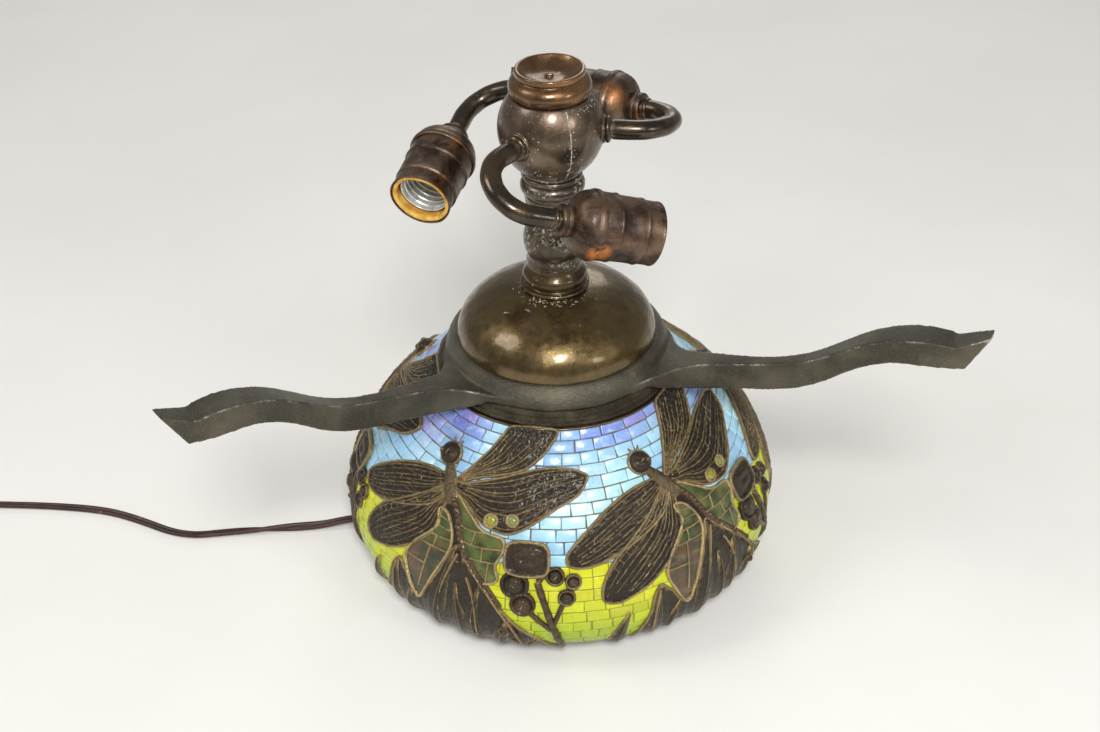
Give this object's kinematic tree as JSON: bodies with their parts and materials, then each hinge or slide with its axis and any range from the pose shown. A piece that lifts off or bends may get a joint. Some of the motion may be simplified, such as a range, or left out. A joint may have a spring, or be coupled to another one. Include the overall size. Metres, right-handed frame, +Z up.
{
  "type": "mosaic glass table lamp base",
  "caption": "Table lamp base: bronze vessel clad in mosaic glass with dragonfly castings, iron shade spider, turned stem and a cluster of curved socket arms.",
  "frame": {"origin": "on the lamp's axis, on the underside of the felt foot", "axes": "+Z up along the stem; +X to the right and +Y to the back as the lamp is usually seen, with the cord leaving towards -X"},
  "size_m": [0.6974, 0.3979, 0.319],
  "materials": {
    "vessel_metal": "dark patina, cast and uneven",
    "castings": "dark patina with worn raised edges",
    "blue_glass": "iridescent sky blue, opaque, set in brick courses",
    "green_glass": "opalescent yellow-green, opaque",
    "jewel_glass": "yellow-green cabochon",
    "steel_plate": "black enamel",
    "felt": "dark green felt",
    "steel": "plain",
    "black_rubber": "moulded",
    "iron": "satin, slightly greenish grey-black",
    "dome_bronze": "smooth olive brown, polished",
    "stem_bronze": "dark brown patina with pale specks",
    "cord_brown": "brown two-core lamp cord",
    "plug_brown": "moulded",
    "blade_brass": "bright",
    "wire_nut": "orange",
    "tube_brass": "patina worn to copper",
    "socket_brass": "spun brass, dark patina with copper patches",
    "fibre": "orange-brown fibre",
    "screw_shell": "bright pressed metal",
    "insulator": "black phenolic",
    "contact_brass": "bright"
  },
  "bodies": {
    "lamp": {"body_shell": "vessel_metal", "bottom_rim": "vessel_metal", "neck_rim": "vessel_metal", "dragonfly_1": "castings", "dragonfly_2": "castings", "dragonfly_3": "castings", "dragonfly_4": "castings", "dragonfly_5": "castings", "foliage_castings": "castings", "mosaic_sky": "blue_glass", "mosaic_lime": "green_glass", "wing_jewels": "jewel_glass", "base_plate": "steel_plate", "felt_pad": "felt", "base_screws": "steel", "pipe_locknuts": "steel", "threaded_pipe": "steel", "cord_bushing": "black_rubber", "shade_support": "iron", "dome_cover": "dome_bronze", "stem_flange": "stem_bronze", "stem_column": "stem_bronze", "stem_collar": "stem_bronze", "cluster_ball": "stem_bronze", "cluster_cap": "stem_bronze", "mains_lead": "cord_brown", "cord_run": "cord_brown", "cord_coil": "cord_brown", "cord_tail": "cord_brown", "plug_body": "plug_brown", "plug_blades": "blade_brass", "wire_nuts": "wire_nut"},
    "arm_1": {"socket_arm_1": "tube_brass", "arm_collar_1": "tube_brass", "arm_locknut_1": "steel", "socket_cap_1": "socket_brass", "socket_shell_1": "socket_brass", "socket_liner_1": "fibre", "screw_shell_1": "screw_shell", "socket_core_1": "insulator", "centre_contact_1": "contact_brass"},
    "arm_2": {"socket_arm_2": "tube_brass", "arm_collar_2": "tube_brass", "arm_locknut_2": "steel", "socket_cap_2": "socket_brass", "socket_shell_2": "socket_brass", "socket_liner_2": "fibre", "screw_shell_2": "screw_shell", "socket_core_2": "insulator", "centre_contact_2": "contact_brass"},
    "arm_3": {"socket_arm_3": "tube_brass", "arm_collar_3": "tube_brass", "arm_locknut_3": "steel", "socket_cap_3": "socket_brass", "socket_shell_3": "socket_brass", "socket_liner_3": "fibre", "screw_shell_3": "screw_shell", "socket_core_3": "insulator", "centre_contact_3": "contact_brass"}
  },
  "joints": [
    {"name": "arm_1_swivel", "type": "hinge", "parent": "lamp", "child": "arm_1", "pos_m": [-0.00977, 0.02837, 0.2841], "axis": [-0.3256, 0.9455, 0], "range_deg": [-20, 60]},
    {"name": "arm_2_swivel", "type": "hinge", "parent": "lamp", "child": "arm_2", "pos_m": [-0.01863, -0.02351, 0.2841], "axis": [-0.6211, -0.7837, 0], "range_deg": [-20, 60]},
    {"name": "arm_3_swivel", "type": "hinge", "parent": "lamp", "child": "arm_3", "pos_m": [0.02968, -0.00438, 0.2841], "axis": [0.9893, -0.1461, 0], "range_deg": [-20, 60]}
  ]
}
